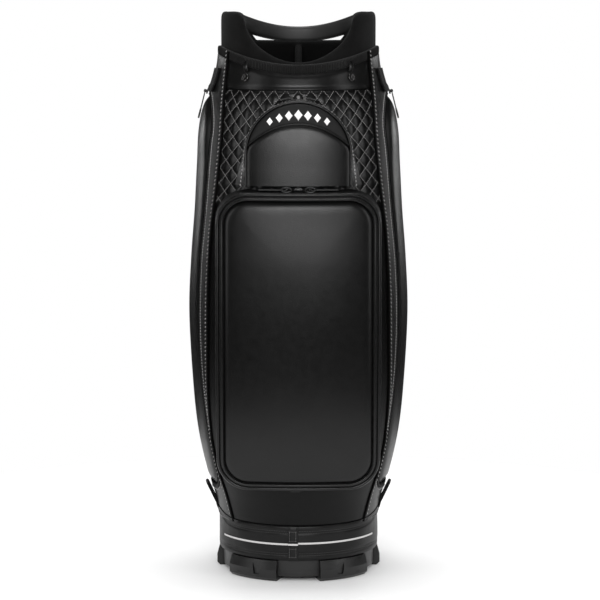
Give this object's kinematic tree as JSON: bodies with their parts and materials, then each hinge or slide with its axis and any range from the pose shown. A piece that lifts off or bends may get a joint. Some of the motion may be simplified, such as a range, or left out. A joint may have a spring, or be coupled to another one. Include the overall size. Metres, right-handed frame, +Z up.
{
  "type": "golf staff bag",
  "caption": "Barrel-shaped golf bag with a padded scooped collar, divided club wells, zipped pockets, a shoulder strap and a footed moulded base.",
  "frame": {"origin": "on the floor, where the axis of the tube meets it", "axes": "+Z up along the tube, -Y towards the front pockets, +X to the right as seen from the front"},
  "size_m": [0.347, 0.419, 0.889],
  "materials": {
    "moulded_base": "moulded, fine grain",
    "rivet_metal": "dark satin",
    "pad_foam": "needle felt",
    "belt_leather": "satin leatherette",
    "reflective_stripe": "woven reflective tape",
    "board_plastic": "matte",
    "stay_steel": "satin",
    "divider_cloth": "brushed cloth",
    "divider_padding": "brushed cloth",
    "collar_fabric": "padded stretch fabric",
    "knit_band": "ribbed elastic",
    "handle_rubber": "soft moulded",
    "smooth_leather": "satin leatherette",
    "quilted_leather": "quilted leatherette",
    "pocket_leather": "satin leatherette",
    "matte_trim": "matte leatherette",
    "zip_tape": "coated zip",
    "black_nickel": "black nickel",
    "pull_rubber": "soft moulded",
    "webbing": "woven webbing",
    "strap_mesh": "padded mesh",
    "anchor_metal": "powder coated"
  },
  "bodies": {
    "shell": {"base_belt": "belt_leather", "base_foam_pad": "pad_foam", "base_rivets": "rivet_metal", "base_tray": "moulded_base", "belt_overlap_tab": "belt_leather", "belt_stripe": "reflective_stripe", "collar_band": "knit_band", "collar_cover": "collar_fabric", "collar_frame": "board_plastic", "cuff_rivets": "rivet_metal", "divider_centre": "divider_cloth", "divider_cross_front": "divider_cloth", "divider_cross_rear": "divider_cloth", "divider_grid": "divider_padding", "front_pocket_gusset": "pocket_leather", "front_pocket_zip": "zip_tape", "left_pocket_zip": "zip_tape", "left_side_skin": "smooth_leather", "lift_handle_grip": "handle_rubber", "low_handles": "webbing", "lower_front_panel": "smooth_leather", "quilted_panel": "quilted_leather", "rain_hood_studs": "black_nickel", "right_pocket_zip": "zip_tape", "right_side_skin": "smooth_leather", "side_tabs": "webbing", "spine_panel": "smooth_leather", "stay_rods": "stay_steel", "strap_anchors": "anchor_metal", "top_front_panel": "smooth_leather", "tube": "board_plastic", "upper_pocket_eyelet": "rivet_metal", "upper_pocket_foot": "pocket_leather", "upper_pocket_gusset": "pocket_leather", "upper_pocket_zip": "zip_tape"},
    "front_door": {"front_door_board": "board_plastic", "front_door_pad": "pocket_leather", "front_door_piping": "matte_trim"},
    "upper_flap": {"upper_pocket_face": "pocket_leather", "upper_pocket_crescent": "matte_trim"},
    "left_door": {"left_pocket_door": "pocket_leather"},
    "right_door": {"right_pocket_door": "pocket_leather"},
    "strap": {"strap_webbing": "webbing", "strap_pad": "strap_mesh"},
    "front_pull_left": {"front_pull_left": "pull_rubber"},
    "front_pull_right": {"front_pull_right": "pull_rubber"},
    "front_slider_left": {"front_slider_left": "black_nickel"},
    "front_slider_right": {"front_slider_right": "black_nickel"},
    "left_pull": {"left_pull": "pull_rubber"},
    "left_slider": {"left_slider": "black_nickel"},
    "right_pull": {"right_pull": "pull_rubber"},
    "right_slider": {"right_slider": "black_nickel"},
    "upper_pull_left": {"upper_pull_left": "pull_rubber"},
    "upper_pull_right": {"upper_pull_right": "pull_rubber"},
    "upper_slider_left": {"upper_slider_left": "black_nickel"},
    "upper_slider_right": {"upper_slider_right": "black_nickel"}
  },
  "joints": [
    {"name": "front_door_hinge", "type": "hinge", "parent": "shell", "child": "front_door", "pos_m": [0, -0.1815, 0.157], "axis": [1, 0, 0], "range_deg": [0, 95]},
    {"name": "upper_flap_hinge", "type": "hinge", "parent": "shell", "child": "upper_flap", "pos_m": [0, -0.1757, 0.6498], "axis": [1, 0, 0], "range_deg": [0, 45]},
    {"name": "right_door_hinge", "type": "hinge", "parent": "shell", "child": "right_door", "pos_m": [0.09829, 0.09829, 0.45], "axis": [0, 0, 1], "range_deg": [0, 70]},
    {"name": "left_door_hinge", "type": "hinge", "parent": "shell", "child": "left_door", "pos_m": [-0.09829, 0.09829, 0.45], "axis": [0, 0, -1], "range_deg": [0, 70]},
    {"name": "strap_swing", "type": "hinge", "parent": "shell", "child": "strap", "pos_m": [0, 0.137, 0.545], "axis": [0, 0, 1], "range_deg": [-35, 35]},
    {"name": "front_slider_right_run", "type": "hinge", "parent": "shell", "child": "front_slider_right", "pos_m": [0, 0.25, 0.65965], "axis": [0, -0.1045, 0.9945], "range_deg": [0, 7.5]},
    {"name": "front_pull_right_hinge", "type": "hinge", "parent": "front_slider_right", "child": "front_pull_right", "pos_m": [0.01326, -0.18159, 0.61941], "axis": [0.0305, -0.9941, -0.1045], "range_deg": [0, 95]},
    {"name": "upper_slider_right_run", "type": "hinge", "parent": "shell", "child": "upper_slider_right", "pos_m": [0, -0.1499, 0.671], "axis": [0, 1, 0], "range_deg": [0, 65]},
    {"name": "upper_pull_right_hinge", "type": "hinge", "parent": "upper_slider_right", "child": "upper_pull_right", "pos_m": [0.00991, -0.1499, 0.75794], "axis": [0, -1, 0], "range_deg": [0, 80]},
    {"name": "right_slider_run", "type": "hinge", "parent": "right_door", "child": "right_slider", "pos_m": [0, 0, 0.7614], "axis": [0, 0, 1], "range_deg": [-5, 35]},
    {"name": "right_pull_hinge", "type": "hinge", "parent": "right_slider", "child": "right_pull", "pos_m": [0.14738, 0.00515, 0.76287], "axis": [0.0349, -0.9994, 0], "range_deg": [0, 110]},
    {"name": "front_slider_left_run", "type": "hinge", "parent": "shell", "child": "front_slider_left", "pos_m": [0, 0.25, 0.65965], "axis": [0, -0.1045, 0.9945], "range_deg": [-7.5, 0]},
    {"name": "front_pull_left_hinge", "type": "hinge", "parent": "front_slider_left", "child": "front_pull_left", "pos_m": [-0.01326, -0.18159, 0.61941], "axis": [0.0305, 0.9941, 0.1045], "range_deg": [0, 95]},
    {"name": "upper_slider_left_run", "type": "hinge", "parent": "shell", "child": "upper_slider_left", "pos_m": [0, -0.1499, 0.671], "axis": [0, -1, 0], "range_deg": [0, 65]},
    {"name": "upper_pull_left_hinge", "type": "hinge", "parent": "upper_slider_left", "child": "upper_pull_left", "pos_m": [-0.00991, -0.1499, 0.75794], "axis": [0, 1, 0], "range_deg": [0, 80]},
    {"name": "left_slider_run", "type": "hinge", "parent": "left_door", "child": "left_slider", "pos_m": [0, 0, 0.7614], "axis": [0, 0, -1], "range_deg": [-5, 35]},
    {"name": "left_pull_hinge", "type": "hinge", "parent": "left_slider", "child": "left_pull", "pos_m": [-0.14738, 0.00515, 0.76287], "axis": [0.0349, 0.9994, 0], "range_deg": [0, 110]}
  ]
}
